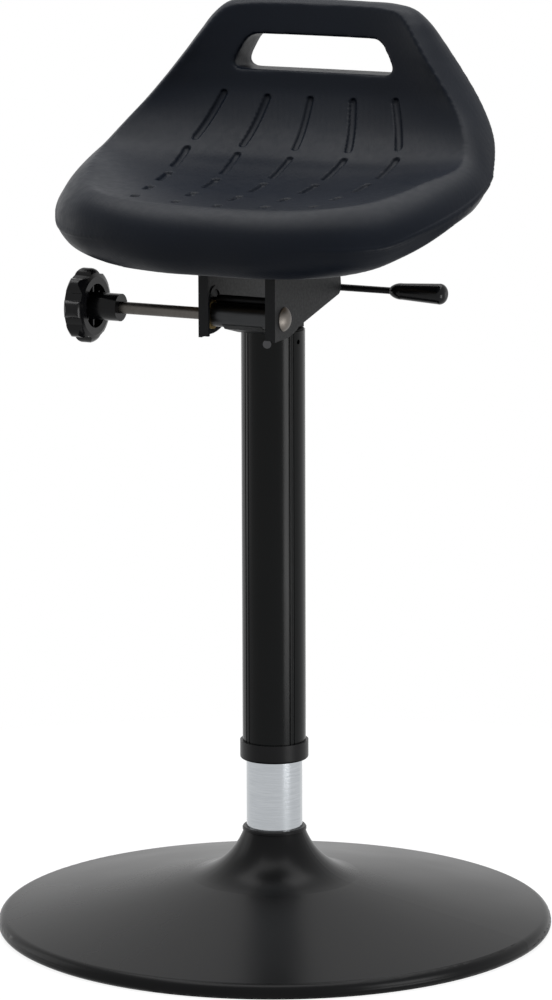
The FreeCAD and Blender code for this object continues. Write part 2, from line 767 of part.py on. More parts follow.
# Half of the seat's side to side stations. Each has, for one distance across,
# the (back, height) of ten corners of the cut through the seat at that place:
# front bottom, front edge, pan front, pan middle, pan rear, wall foot, rear
# ridge, crown back, back bulge and belly.
SEAT_STATIONS = [
    (0.0, [(-130, 604), (-142, 632), (-117, 661.5), (-30, 668), (42, 690), (78, 737),
           (94, 813), (121, 812), (122, 735), (50, 606)]),
    (50.0, [(-127, 604), (-141, 632), (-116, 662), (-30, 669.5), (42, 691.5), (78, 737),
            (90, 813), (118, 812), (120, 735), (50, 607)]),
    (82.0, [(-120, 604.5), (-138, 632), (-113, 663.5), (-30, 671), (41, 695), (77, 738),
            (82, 810), (112, 810), (116, 734), (48, 608.5)]),
    (104.0, [(-110, 606), (-134, 632), (-108, 665), (-26, 673), (40, 700), (71, 740),
             (73, 788), (107, 798), (111, 732), (46, 612)]),
    (128.0, [(-101, 610), (-127, 632.5), (-95, 669), (-20, 676), (36, 705), (63, 737),
             (65, 757), (104, 769), (107, 728), (42, 619)]),
    (150.0, [(-92, 618), (-113, 633.5), (-62, 675.5), (-12, 683), (26, 699), (49, 720),
             (55, 729), (99, 741), (101, 716), (38, 632)]),
    (168.0, [(-79, 627), (-89, 640), (-18, 685), (-4, 688), (8, 692), (20, 695),
             (26, 698), (88, 717), (88, 700), (30, 645)]),
    (178.0, [(-65, 635), (-70, 645), (-36, 668), (-14, 678), (6, 684), (20, 688),
             (26, 690), (77, 704), (76, 690), (26, 650)]),
    (186.0, [(-46, 644), (-48, 651), (-30, 663), (-12, 671), (6, 677), (20, 682),
             (26, 684), (58, 690), (57, 680), (20, 655)]),
    (192.0, [(-26, 651), (-28, 656), (-18, 663), (-6, 668), (6, 672.5), (14, 675.5),
             (20, 677.5), (38, 682), (37, 674), (14, 658)]),
    (195.5, [(-6, 659), (-7, 661), (-3, 664), (1, 666), (6, 668.5), (10, 670.5),
             (13, 671.5), (19, 673), (18, 670), (8, 662)]),
]

# How far each edge of a cut bulges outwards, as a share of its own length.
EDGE_BULGE = (0.06, 0.17, -0.01, -0.05, -0.07, -0.02, 0.16, 0.05, 0.09, 0.0)


def seat_wire(across, corners):
    points = [Vector(across, back, height) for back, height in corners]
    middle = sum(points, Vector()) * (1.0 / len(points))
    edges = []
    for index, bulge in enumerate(EDGE_BULGE):
        start = points[index]
        end = points[(index + 1) % len(points)]
        chord = end - start
        if bulge == 0.0:
            edges.append(Part.makeLine(start, end))
            continue
        outward = Vector(0, -chord.z, chord.y)
        outward.normalize()
        crest = (start + end) * 0.5 + outward * (bulge * chord.Length)
        edges.append(Part.Arc(start, crest, end).toShape())
    return Part.Wire(edges)


# Rows of short channels in the pan: distance across of the outer column, back
# end and front end of each row.
CHANNEL_ROWS = [(88.0, 77.0, 40.0), (100.0, 38.0, 4.0), (96.0, -11.0, -40.0),
                (90.0, -58.0, -76.0), (84.0, -97.0, -110.0)]
CHANNEL_COLUMNS = (-1.0, -0.5, 0.0, 0.5, 1.0)
CHANNEL_RADIUS = 4.5
CHANNEL_DEPTH = 3.4
SLOT_BOTTOM = 758.0
SLOT_TOP = 789.0


def make_seat():
    wires = []
    for across, corners in reversed(SEAT_STATIONS[1:]):
        wires.append(seat_wire(-across, corners))
    for across, corners in SEAT_STATIONS:
        wires.append(seat_wire(across, corners))
    blank = Part.makeLoft(wires, True, True)
    solid = blank.cut(slot_tool()).cut(recess_tool())
    for tool in channel_tools(blank):
        solid = solid.cut(tool)
    pad = document.addObject("Part::Feature", "seat_pad")
    pad.Shape = solid
    keep("seat_pad", pad)


def slot_tool():
    half_low = 79.0
    half_high = 69.0
    corner = 11.0
    front = 40.0
    depth = 110.0
    points = [Vector(-half_low, front, SLOT_BOTTOM), Vector(half_low, front, SLOT_BOTTOM),
              Vector(half_high, front, SLOT_TOP), Vector(-half_high, front, SLOT_TOP)]
    prism = Part.Face(Part.makePolygon(points + points[:1])).extrude(Vector(0, depth, 0))
    along = [edge for edge in prism.Edges
             if abs(edge.Vertexes[0].Y - edge.Vertexes[1].Y) > depth / 2]
    return prism.makeFillet(corner, along)


# The pocket under the pad that takes the board, with a small gap round it.
def recess_tool():
    gap = 0.2
    below = 590.0
    width = cell("board_width").number
    top = cell("board_bottom").number + cell("board_thickness").number
    return Part.makeBox(width + 2 * gap, cell("board_depth").number + 2 * gap,
                        top + gap - below,
                        Vector(-width / 2 - gap, cell("board_front").number - gap, below))


# Height of the pan at a point: the top of the first stretch of an upright line
# that lies in the solid.
def pan_height(solid, across, back):
    line = Part.makeLine(Vector(across, back, 600.0), Vector(across, back, 900.0))
    stretches = []
    for edge in solid.common(line).Edges:
        heights = [vertex.Z for vertex in edge.Vertexes]
        stretches.append((min(heights), max(heights)))
    return min(stretches)[1]


def channel_tools(solid):
    tools = []
    lift = CHANNEL_RADIUS - CHANNEL_DEPTH
    for outer, back_end, front_end in CHANNEL_ROWS:
        for column in CHANNEL_COLUMNS:
            across = outer * column
            ends = []
            for back in (front_end, back_end):
                height = pan_height(solid, across, back)
                ends.append(Vector(across, back, height + lift))
            axis = ends[1] - ends[0]
            bar = Part.makeCylinder(CHANNEL_RADIUS, axis.Length, ends[0], axis)
            caps = [Part.makeSphere(CHANNEL_RADIUS, end) for end in ends]
            tools.append(bar.fuse(caps))
    return tools


make_base_dish()
make_base_inside()
make_lower_column()
make_rod()
make_column()
make_head()
make_lever()
make_bracket()
make_clamp()
make_seat()

document.recompute()
for item in document.Objects:
    if "Invalid" in item.State or "Error" in item.State:
        raise RuntimeError("%s did not build: %s" % (item.Label, item.State))
for label, feature in nodes.items():
    shape = feature.Shape
    if shape.isNull() or not shape.isValid() or not shape.Solids:
        raise RuntimeError("%s has no sound shape" % label)

os.makedirs("parts", exist_ok=True)
for label, feature in nodes.items():
    feature.Shape.exportStep("parts/%s.step" % label)
    print(label, len(feature.Shape.Solids), round(feature.Shape.Volume, 1))
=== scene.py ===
import math

import bmesh
import bpy
import numpy as np
from mathutils import Matrix, Vector
from mathutils.bvhtree import BVHTree
from mathutils.kdtree import KDTree


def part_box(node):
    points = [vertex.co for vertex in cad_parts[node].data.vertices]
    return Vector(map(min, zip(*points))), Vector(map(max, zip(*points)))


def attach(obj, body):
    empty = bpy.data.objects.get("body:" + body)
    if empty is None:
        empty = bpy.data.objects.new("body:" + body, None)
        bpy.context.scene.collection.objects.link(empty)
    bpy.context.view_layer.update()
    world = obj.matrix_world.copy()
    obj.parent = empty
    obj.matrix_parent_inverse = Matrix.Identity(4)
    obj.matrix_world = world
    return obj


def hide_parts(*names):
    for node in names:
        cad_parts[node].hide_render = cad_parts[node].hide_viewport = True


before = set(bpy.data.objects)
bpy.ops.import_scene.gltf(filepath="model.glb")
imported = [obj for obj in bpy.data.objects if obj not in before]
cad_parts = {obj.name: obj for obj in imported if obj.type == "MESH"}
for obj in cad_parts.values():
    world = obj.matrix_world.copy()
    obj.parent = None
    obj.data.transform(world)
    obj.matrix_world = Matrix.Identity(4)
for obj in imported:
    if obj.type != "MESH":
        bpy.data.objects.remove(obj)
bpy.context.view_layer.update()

MM = 0.001


# Camera: the photograph's viewing angle

# Distance from the stool's axis, height, direction, tilt and roll, in metres and
# radians, then the lens and the sensor's width in mm and the sideways shift.
CAMERA_DISTANCE = 4.54592
CAMERA_HEIGHT = 1.26108
CAMERA_AZIMUTH = math.radians(26.0)
CAMERA_PITCH = 0.190
CAMERA_ROLL = 0.003
CAMERA_LENS = 188.536
CAMERA_SENSOR = 36.0
CAMERA_SHIFT = 0.00243


def make_camera():
    azimuth = CAMERA_AZIMUTH
    cos_pitch = math.cos(CAMERA_PITCH)
    forward = Vector((-math.sin(azimuth) * cos_pitch, math.cos(azimuth) * cos_pitch,
                      -math.sin(CAMERA_PITCH)))
    level = Vector((math.cos(azimuth), math.sin(azimuth), 0.0))
    upward = level.cross(forward)
    cos_roll = math.cos(CAMERA_ROLL)
    sin_roll = math.sin(CAMERA_ROLL)
    right = level * cos_roll - upward * sin_roll
    up = level * sin_roll + upward * cos_roll
    data = bpy.data.cameras.new("photo_camera")
    data.lens = CAMERA_LENS
    data.sensor_width = CAMERA_SENSOR
    data.shift_x = CAMERA_SHIFT
    data.clip_start = 0.05
    data.clip_end = 60.0
    camera = bpy.data.objects.new("photo_camera", data)
    camera.matrix_world = Matrix.Translation(
        (math.sin(azimuth) * CAMERA_DISTANCE, -math.cos(azimuth) * CAMERA_DISTANCE,
         CAMERA_HEIGHT)) @ Matrix((right, up, -forward)).transposed().to_4x4()
    bpy.context.scene.collection.objects.link(camera)
    bpy.context.scene.camera = camera


# Materials, all made of nodes in object coordinates

class Nodes:
    def __init__(self, name):
        self.material = bpy.data.materials.new(name)
        self.material.use_nodes = True
        self.tree = self.material.node_tree
        self.tree.nodes.clear()
        self.shader = self.add("ShaderNodeBsdfPrincipled")
        output = self.add("ShaderNodeOutputMaterial")
        self.join(self.shader.outputs["BSDF"], output.inputs["Surface"])
        self.place = self.add("ShaderNodeTexCoord").outputs["Object"]

    def add(self, kind, **settings):
        node = self.tree.nodes.new(kind)
        for key, value in settings.items():
            setattr(node, key, value)
        return node

    def join(self, start, end):
        self.tree.links.new(start, end)

    def scaled(self, scale, turn=(0.0, 0.0, 0.0)):
        mapping = self.add("ShaderNodeMapping")
        mapping.inputs["Scale"].default_value = scale
        mapping.inputs["Rotation"].default_value = turn
        self.join(self.place, mapping.inputs["Vector"])
        return mapping.outputs["Vector"]

    def noise(self, scale, detail, stretch=None):
        node = self.add("ShaderNodeTexNoise")
        node.inputs["Scale"].default_value = scale
        node.inputs["Detail"].default_value = detail
        source = self.place if stretch is None else self.scaled(stretch)
        self.join(source, node.inputs["Vector"])
        return node.outputs["Fac"]

    # Values from start to end become low to high.
    def spread(self, value, low, high, start=0.3, end=0.7):
        node = self.add("ShaderNodeMapRange")
        node.inputs["From Min"].default_value = start
        node.inputs["From Max"].default_value = end
        node.inputs["To Min"].default_value = low
        node.inputs["To Max"].default_value = high
        self.join(value, node.inputs["Value"])
        return node.outputs["Result"]

    def blend(self, factor, first, second):
        node = self.add("ShaderNodeMix", data_type="RGBA")
        node.inputs["A"].default_value = (*first, 1.0)
        node.inputs["B"].default_value = (*second, 1.0)
        self.join(factor, node.inputs["Factor"])
        return node.outputs["Result"]

    # Slanting bands as fine as the scale, along X or Y after a turn.
    def waves(self, direction, scale, distortion, turn):
        node = self.add("ShaderNodeTexWave", wave_type="BANDS", bands_direction=direction,
                        wave_profile="SIN")
        node.inputs["Scale"].default_value = scale
        node.inputs["Distortion"].default_value = distortion
        self.join(self.scaled((1.0, 1.0, 1.0), turn), node.inputs["Vector"])
        return node.outputs["Fac"]

    # Each layer is a height, its strength and its distance in metres.
    def relief(self, *layers):
        normal = None
        for height, strength, distance in layers:
            bump = self.add("ShaderNodeBump")
            bump.inputs["Strength"].default_value = strength
            bump.inputs["Distance"].default_value = distance
            self.join(height, bump.inputs["Height"])
            if normal is not None:
                self.join(normal, bump.inputs["Normal"])
            normal = bump.outputs["Normal"]
        self.join(normal, self.shader.inputs["Normal"])

    def set(self, **values):
        for key, value in values.items():
            socket = self.shader.inputs[key.replace("_", " ")]
            if isinstance(value, bpy.types.NodeSocket):
                self.join(value, socket)
            else:
                socket.default_value = value


# Paint, plastic and metal share one build: a base colour with slow mottling, a
# roughness that wanders in the range rough, and a fine relief. The larger the grain,
# the finer they are.
def finish(name, colour, second, rough, grain, metallic=0.0, specular=0.15, relief=0.15,
           stretch=None):
    n = Nodes(name)
    slow = n.noise(14.0, 2.0)
    fine = n.noise(grain, 4.0, stretch)
    n.set(Base_Color=n.blend(n.spread(slow, 0.0, 1.0), colour, second),
          Roughness=n.spread(fine, *rough), Metallic=metallic,
          Specular_IOR_Level=specular)
    n.relief((fine, relief, 0.0002))
    return n.material


def seat_skin():
    n = Nodes("seat_skin")
    slow = n.noise(9.0, 3.0)
    mottle = n.noise(160.0, 3.0)
    colour = n.blend(n.spread(slow, 0.0, 1.0), (0.0012, 0.0026, 0.0060), (0.0020, 0.0039, 0.0082))
    # Moulded grain: fine slanting ribs crossed by shallower ones, and pores.
    ribs = n.waves("X", 95.0, 0.3, (0.3, 0.5, 0.9))
    cross = n.waves("Y", 110.0, 0.6, (0.5, 0.2, 0.6))
    pores = n.add("ShaderNodeTexVoronoi", feature="F1")
    pores.inputs["Scale"].default_value = 900.0
    n.join(n.place, pores.inputs["Vector"])
    n.set(Base_Color=colour, Roughness=n.spread(mottle, 0.40, 0.48), Specular_IOR_Level=0.12)
    n.relief((ribs, 0.22, 0.0001), (cross, 0.12, 0.0001),
             (pores.outputs["Distance"], 0.3, 0.00008))
    return n.material


def dish_paint():
    n = Nodes("dish_paint")
    slow = n.noise(7.0, 3.0)
    peel = n.noise(420.0, 2.0)
    n.set(Base_Color=n.blend(n.spread(slow, 0.0, 1.0), (0.0035, 0.0036, 0.004),
                             (0.0055, 0.0056, 0.006)),
          Roughness=n.spread(slow, 0.26, 0.32), Specular_IOR_Level=0.1)
    n.relief((peel, 0.12, 0.0001))
    return n.material


def chrome_plate():
    n = Nodes("chrome_plate")
    lines = n.noise(60.0, 3.0, (1.0, 1.0, 40.0))
    n.set(Base_Color=n.blend(n.spread(lines, 0.0, 1.0), (0.38, 0.40, 0.42), (0.46, 0.48, 0.50)),
          Roughness=n.spread(lines, 0.13, 0.2), Metallic=1.0)
    n.relief((lines, 0.05, 0.00005))
    return n.material


def wood_ply():
    n = Nodes("board_ply")
    layers = n.noise(90.0, 3.0, (0.15, 0.6, 6.0))
    n.set(Base_Color=n.blend(n.spread(layers, 0.0, 1.0), (0.42, 0.29, 0.17), (0.6, 0.45, 0.28)),
          Roughness=n.spread(layers, 0.6, 0.75))
    n.relief((layers, 0.2, 0.0002))
    return n.material


def paint_nodes():
    made = {
        "dish": dish_paint(),
        "column": finish("column_anodised", (0.0022, 0.0027, 0.0028), (0.0034, 0.004, 0.0042),
                         (0.2, 0.26), 300.0, specular=0.12, relief=0.06,
                         stretch=(1.0, 1.0, 0.05)),
        "collar": finish("collar_plastic", (0.004, 0.004, 0.0045), (0.006, 0.006, 0.0066),
                         (0.30, 0.38), 500.0),
        "chrome": chrome_plate(),
        "bracket": finish("bracket_paint", (0.0022, 0.0026, 0.0032), (0.0034, 0.0040, 0.0048),
                          (0.42, 0.55), 380.0, relief=0.2),
        "gloss": finish("gloss_plastic", (0.006, 0.006, 0.007), (0.009, 0.009, 0.010),
                        (0.14, 0.22), 120.0, relief=0.04),
        "rod": finish("rod_paint", (0.008, 0.008, 0.009), (0.012, 0.012, 0.013), (0.3, 0.4),
                      260.0),
        "steel": finish("bare_steel", (0.07, 0.066, 0.060), (0.11, 0.103, 0.095), (0.34, 0.5),
                        180.0, metallic=1.0, stretch=(4.0, 1.0, 1.0)),
        "bolt": finish("bolt_steel", (0.12, 0.108, 0.098), (0.17, 0.155, 0.14), (0.38, 0.5),
                       240.0, metallic=1.0),
        "yellow": finish("yellow_zinc", (0.62, 0.44, 0.16), (0.74, 0.56, 0.26), (0.3, 0.42),
                         200.0, metallic=1.0),
        "zinc": finish("bright_zinc", (0.48, 0.48, 0.49), (0.58, 0.58, 0.60), (0.26, 0.38),
                       220.0, metallic=1.0),
        "barrel": finish("barrel_steel", (0.030, 0.031, 0.032), (0.045, 0.046, 0.048), (0.30, 0.42),
                         240.0, metallic=1.0, stretch=(0.3, 2.0, 2.0)),
        "iron": finish("cast_iron", (0.10, 0.10, 0.10), (0.16, 0.155, 0.15), (0.6, 0.75),
                       260.0, metallic=0.6, relief=0.5),
        "rubber": finish("rubber_black", (0.012, 0.012, 0.012), (0.02, 0.02, 0.02),
                         (0.7, 0.85), 420.0, relief=0.3),
        "ply": wood_ply(),
        "screw": finish("screw_black", (0.05, 0.05, 0.052), (0.08, 0.08, 0.085), (0.22, 0.32),
                        300.0, metallic=1.0),
    }
    use = {
        "dish": "base_dish",
        "column": "column_profile",
        "collar": "column_collar neck_ring tube_bush",
        "chrome": "lower_tube",
        "bracket": "cheek_left cheek_right bracket_plate column_head lever_mount stop_bar",
        "gloss": "star_knob lever_grip",
        "rod": "release_rod release_finger",
        "steel": "clamp_sleeve",
        "bolt": "pivot_bolt knob_nut",
        "yellow": "washer_left washer_right",
        "zinc": "hub_screws bracket_screws board_inserts piston_rod piston lower_race"
                " bearing_cage upper_race rod_clip release_pin shaft_clip base_hub",
        "barrel": "pivot_barrel gas_cylinder cylinder_gland",
        "iron": "ballast_plate",
        "rubber": "floor_ring",
        "ply": "seat_board",
        "screw": "column_screws",
    }
    for key, names in use.items():
        for name in names.split():
            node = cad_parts[name]
            node.data.materials.clear()
            node.data.materials.append(made[key])


# The seat's right half in mm, at stations from the middle of the front round the
# side to the middle of the hand grip: the rim of the pan, the outermost line, a
# line on the back or under the nose, the bottom edge, and how far the outer wall
# bulges, as a share of its width.
SEAT_STATIONS = [
    ((0, -117, 661.5), (0, -142, 632), (0, -140, 617), (0, -130, 604), 0.17),
    ((60, -115.5, 662.3), (60, -141, 632), (57, -139, 617), (52, -127, 604), 0.17),
    ((95, -112, 664.5), (102, -134, 632), (97, -129, 618), (92, -115, 605), 0.16),
    ((120, -102, 667.5), (134, -123, 632.5), (128, -118, 619), (119, -103, 608), 0.15),
    ((137, -85, 670.5), (157, -104, 634.5), (151, -101, 623), (143, -94, 614), 0.14),
    ((151, -60, 676), (174, -77, 643), (170, -78, 632), (165, -80, 625), 0.12),
    ((162, -30, 683), (186, -46, 652), (184, -54, 642), (179, -62, 635), 0.10),
    ((170, -5, 687), (192.5, -17, 660), (191, -29, 651), (187, -42, 644), 0.09),
    ((173.5, 15, 691.5), (195.5, 10, 668.5), (194, -3, 660), (190, -16, 652), 0.08),
    ((171, 30, 699), (194, 33, 677), (193, 20, 668), (188, 6, 656), 0.07),
    ((162, 47, 716), (187.5, 55, 690), (187, 46, 680), (180, 24, 651), 0.06),
    ((146, 60, 737), (173, 84, 714), (174, 80, 697), (165, 33, 642), 0.06),
    ((130, 65, 757), (155, 98, 739), (155, 97, 716), (146, 39, 630), 0.06),
    ((115, 68.5, 776), (135, 104, 765), (134, 105, 725), (125, 43, 618), 0.07),
    ((102, 73, 793), (118, 106.5, 786), (116, 109, 730), (104, 46, 612), 0.10),
    ((92, 77.6, 806), (105, 108, 801), (102, 112, 733), (85, 48, 609), 0.13),
    ((83, 81.5, 813.5), (92, 111, 810), (88, 115, 734), (68, 49, 607.5), 0.16),
    ((68, 86, 816), (75, 115, 813.5), (70, 118, 735), (52, 50, 607), 0.16),
    ((40, 91.5, 817), (42, 119, 814.5), (40, 121, 735), (30, 50, 606), 0.16),
    ((0, 94, 817), (0, 121, 815), (0, 122, 735), (0, 50, 606), 0.16),
]
# Stations at the front corner and at the grip's corner, how many points lie along the
# front edge and along the grip, and how many along the side between them.
FRONT_CORNER = 3
GRIP_CORNER = 15
ACROSS_POINTS = 44
SIDE_POINTS = 120
# Middle lines of the pan and of the underside, back and up in mm, at the stations
# from the front corner to the grip's.
PAN_MIDDLE = [(-117, 661.5), (-94, 663), (-62, 665.3), (-30, 668), (-2, 673.5), (18, 680),
              (38, 689), (60, 708.5), (77, 736), (83, 757), (87, 777), (90.5, 795), (94, 812)]
UNDER_MIDDLE = [(-130, 604), (-112, 604), (-92, 604), (-72, 604), (-52, 604.5), (-32, 604.5),
                (-12, 605), (8, 605), (22, 605), (34, 605.5), (42, 606), (48, 606), (50, 606)]

# Short channels in the right half of the pan, in rows from the wall to the front
# edge and in columns from the middle out: back end and front end, in mm.
CHANNELS = [
    ((0, 75.6, 734), (0, 46, 695)), ((42, 75.3, 734), (51.4, 46, 695.5)),
    ((84, 73.6, 736.4), (99, 47.3, 699.7)),
    ((0, 33, 686), (0, 0.5, 674)), ((52, 34.6, 687.5), (49.5, 3, 675)),
    ((102, 35.3, 690), (100, 7.6, 678.5)),
    ((0, -18, 670), (0, -42, 667)), ((48, -14.2, 671), (46.5, -37.4, 667.5)),
    ((96.4, -11.2, 674), (94.5, -31.3, 670.5)),
    ((0, -67, 665), (0, -81, 664)), ((45, -64, 665.4), (44, -73.8, 664.6)),
    ((90.4, -57, 668), (89.6, -66, 667)),
    ((0, -107, 662), (0, -110, 662)), ((43, -101, 662.7), (42.5, -104, 662.6)),
    ((85.5, -94.5, 664.6), (85, -97.5, 664.4)),
]
CHANNEL_HALF_WIDTH = 3.6
CHANNEL_DEPTH = 3.0
CHANNEL_SOFTNESS = 0.5
# Channels are pressed only above this height in metres, where the skin doesn't face
# down by more than this part of its normal.
PAN_LOWEST = 0.655
FACING_DOWN = -0.1
# The parting edge stands along the outermost line, from one station to another and
# above a height in metres. It fades in and out over a share of its length.
EDGE_LINE = 1
EDGE_STATIONS = (1.5, 11.0)
EDGE_HALF_WIDTH = 3.4
EDGE_HEIGHT = 0.8
EDGE_SOFTNESS = 1.6
EDGE_FADE = 0.2
EDGE_LOWEST = 0.6
# Steps along a line, in mm for a channel and as a count between two points for the
# parting edge. The mesh is made finer this far beyond a line's half width, in mm, and
# this power shapes the line's profile.
CHANNEL_STEP = 0.5
EDGE_STEPS = 8
FINE_BORDER = 2.5
PROFILE_POWER = 2.2

# The hand slot, in mm: heights of its lower and upper edge, half its width at each,
# and the corners' radii, two below and two above.
SLOT_LOW = 758.0
SLOT_HIGH = 789.0
SLOT_HALF_LOW = 82.5
SLOT_HALF_HIGH = 64.5
SLOT_RADII = (9.0, 9.0, 16.0, 16.0)
SLOT_CORNER_STEPS = 8
# How far back, and how much larger than its outline the slot is there, in mm.
SLOT_FLARE = ((40.0, 5.0), (70.0, 1.5), (84.0, 0.0), (108.0, 0.0), (150.0, 4.0))

# Rows of faces in the wall, under the outermost line and on the back, and how far
# the lower two bulge, as a share of their width.
WALL_ROWS = 14
LOWER_ROWS = 12
BACK_ROWS = 24
LOWER_BULGE = 0.05
BACK_BULGE = 0.07
# Powers by which the pan and the underside rise from their middle line, and by which
# they meet the front edge and the grip.
PAN_POWER = 3.2
UNDER_POWER = 3.5
END_POWER = 6
# A point inside the seat, in mm, from which outwards is told, and what is added to
# that direction for the wall and for the underside.
SEAT_CENTRE = np.array([0.0, 0.0, 690.0])
WALL_LIFT = np.array([0.0, 0.0, 30.0])
UNDER_LIFT = np.array([0.0, 0.0, 40.0])
# In metres: how near points are welded, the air round the board, how far down its
# pocket is cut, and the size of the even mesh.
WELD_DISTANCE = 0.00005
BOARD_GAP = 0.0004
POCKET_BOTTOM = 0.58
MESH_SIZE = 0.0018
SOFTEN_PASSES = 3


# Values of a smooth curve through keys, at wanted places along them.
def through(at, keys, wanted):
    step = np.diff(at)[:, None]
    rise = np.diff(keys, axis=0) / step
    slopes = np.empty_like(keys)
    slopes[1:-1] = (rise[:-1] * step[1:] + rise[1:] * step[:-1]) / (step[:-1] + step[1:])
    slopes[0], slopes[-1] = rise[0], rise[-1]
    k = np.clip(np.searchsorted(at, wanted, side="right") - 1, 0, len(at) - 2)
    width = (at[k + 1] - at[k])[:, None]
    t = ((wanted - at[k])[:, None]) / width
    return ((2 * t ** 3 - 3 * t ** 2 + 1) * keys[k] + (t ** 3 - 2 * t ** 2 + t) * width * slopes[k]
            + (3 * t ** 2 - 2 * t ** 3) * keys[k + 1] + (t ** 3 - t ** 2) * width * slopes[k + 1])


# The four lines, the bulge and the station, sampled together along the right half. The
# lines run on a little into the left half, so that they are smooth in the middle.
def seat_lines():
    lines = np.array([[station[i] for station in SEAT_STATIONS] for i in range(4)], float)
    mirrored = lines[:, 1:3][:, ::-1] * (-1, 1, 1)
    beyond = lines[:, -3:-1][:, ::-1] * (-1, 1, 1)
    full = np.concatenate([mirrored, lines, beyond], axis=1)
    lengths = np.linalg.norm(np.diff(full[:2], axis=1), axis=2).mean(axis=0)
    at = np.concatenate([[0.0], np.cumsum(lengths)])
    first = mirrored.shape[1]
    front = at[first + FRONT_CORNER]
    grip = at[first + GRIP_CORNER]
    wanted = np.concatenate([
        np.linspace(at[first], front, ACROSS_POINTS + 1),
        np.linspace(front, grip, SIDE_POINTS + 1)[1:],
        np.linspace(grip, at[first + len(SEAT_STATIONS) - 1], ACROSS_POINTS + 1)[1:]])
    sampled = [through(at, line, wanted) for line in full]
    bulges = np.array([station[4] for station in SEAT_STATIONS])
    bulge = np.interp(wanted, at[first:first + len(bulges)], bulges)
    station = np.interp(wanted, at[first:first + len(bulges)], np.arange(len(bulges)))
    return sampled, bulge, station


# Rows between two lines, bulging outwards by a share of their distance.
def band(start, end, bulge, rows, outward):
    chord = end - start
    along = np.gradient(start, axis=0)
    side = np.cross(along, chord)
    side /= np.linalg.norm(side, axis=1)[:, None]
    side *= np.sign((side * outward).sum(axis=1))[:, None]
    reach = (np.linalg.norm(chord, axis=1) * bulge)[:, None]
    return [start + chord * t + side * reach * 4 * t * (1 - t)
            for t in np.linspace(0, 1, rows + 1)]


# A surface inside a closed line: straight across at the middle and rising to the
# line at the sides.
def inner_patch(line, station, middle, power):
    last = ACROSS_POINTS + SIDE_POINTS
    steps = np.arange(FRONT_CORNER, GRIP_CORNER + 1)
    centres = through(steps.astype(float), np.array(middle, float),
                      station[ACROSS_POINTS:last + 1])
    share = np.linspace(0, 1, ACROSS_POINTS + 1)

    def plain(row):
        side = line[ACROSS_POINTS + row]
        rise = share[:, None] ** power
        points = np.empty((ACROSS_POINTS + 1, 3))
        points[:, 0] = side[0] * share
        points[:, 1:] = centres[row] + (side[1:] - centres[row]) * rise
        return points

    front = line[:ACROSS_POINTS + 1] - plain(0)
    grip = line[last:][::-1] - plain(SIDE_POINTS)
    rows = []
    for row in range(SIDE_POINTS + 1):
        t = row / SIDE_POINTS
        rows.append(plain(row) + front * (1 - t) ** END_POWER + grip * t ** END_POWER)
    return rows


def add_grid(vertices, faces, rows):
    start = len(vertices)
    width = len(rows[0])
    for row in rows:
        for x, y, z in row:
            vertices.append((x * MM, y * MM, z * MM))
    for r in range(len(rows) - 1):
        for c in range(width - 1):
            a = start + r * width + c
            faces.append((a, a + 1, a + width + 1, a + width))


def seat_blank():
    (rim, outer, lower, bottom), bulge, station = seat_lines()
    outward = outer - SEAT_CENTRE
    under = (lower + bottom) / 2 - SEAT_CENTRE + UNDER_LIFT
    vertices, faces = [], []
    bands = [band(rim, outer, bulge, WALL_ROWS, outward + WALL_LIFT),
             band(outer, lower, np.full(len(rim), LOWER_BULGE), LOWER_ROWS, under),
             band(lower, bottom, np.full(len(rim), BACK_BULGE), BACK_ROWS, under)]
    for sheet in bands:
        add_grid(vertices, faces, sheet)
        add_grid(vertices, faces, [row * (-1, 1, 1) for row in sheet])
    for patch in (inner_patch(rim, station, PAN_MIDDLE, PAN_POWER),
                  inner_patch(bottom, station, UNDER_MIDDLE, UNDER_POWER)):
        add_grid(vertices, faces, patch)
        add_grid(vertices, faces, [row * (-1, 1, 1) for row in patch])
    return closed(mesh_object("seat_pad_foam", vertices, faces), WELD_DISTANCE)


def mesh_object(name, vertices, faces):
    mesh = bpy.data.meshes.new(name)
    mesh.from_pydata(vertices, [], faces)
    mesh.update()
    piece = bpy.data.objects.new(name, mesh)
    bpy.context.scene.collection.objects.link(piece)
    return piece


# Turns all faces outwards, after welding points nearer than a distance, if one is given.
def closed(piece, weld=None):
    edit = bmesh.new()
    edit.from_mesh(piece.data)
    if weld:
        bmesh.ops.remove_doubles(edit, verts=edit.verts, dist=weld)
    bmesh.ops.recalc_face_normals(edit, faces=edit.faces)
    edit.to_mesh(piece.data)
    edit.free()
    return piece


# A closed skin through rings of points, with a fan of faces at each end.
def lofted(name, rings):
    count = len(rings[0])
    vertices = [point for ring in rings for point in ring]
    faces = []
    for r in range(len(rings) - 1):
        for i in range(count):
            j = (i + 1) % count
            faces.append((r * count + i, r * count + j, (r + 1) * count + j,
                          (r + 1) * count + i))
    for r, order in ((0, -1), (len(rings) - 1, 1)):
        centre = np.mean(rings[r], axis=0)
        vertices.append(tuple(centre))
        for i in range(count):
            pair = (r * count + i, r * count + (i + 1) % count)
            faces.append((len(vertices) - 1, *pair[::order]))
    return closed(mesh_object(name, vertices, faces))


def apply_modifiers(piece):
    graph = bpy.context.evaluated_depsgraph_get()
    mesh = bpy.data.meshes.new_from_object(piece.evaluated_get(graph))
    piece.modifiers.clear()
    piece.data = mesh


def carve(piece, tool):
    boolean = piece.modifiers.new("carve", "BOOLEAN")
    boolean.operation = "DIFFERENCE"
    boolean.solver = "EXACT"
    boolean.object = tool
    apply_modifiers(piece)
    bpy.data.objects.remove(tool)


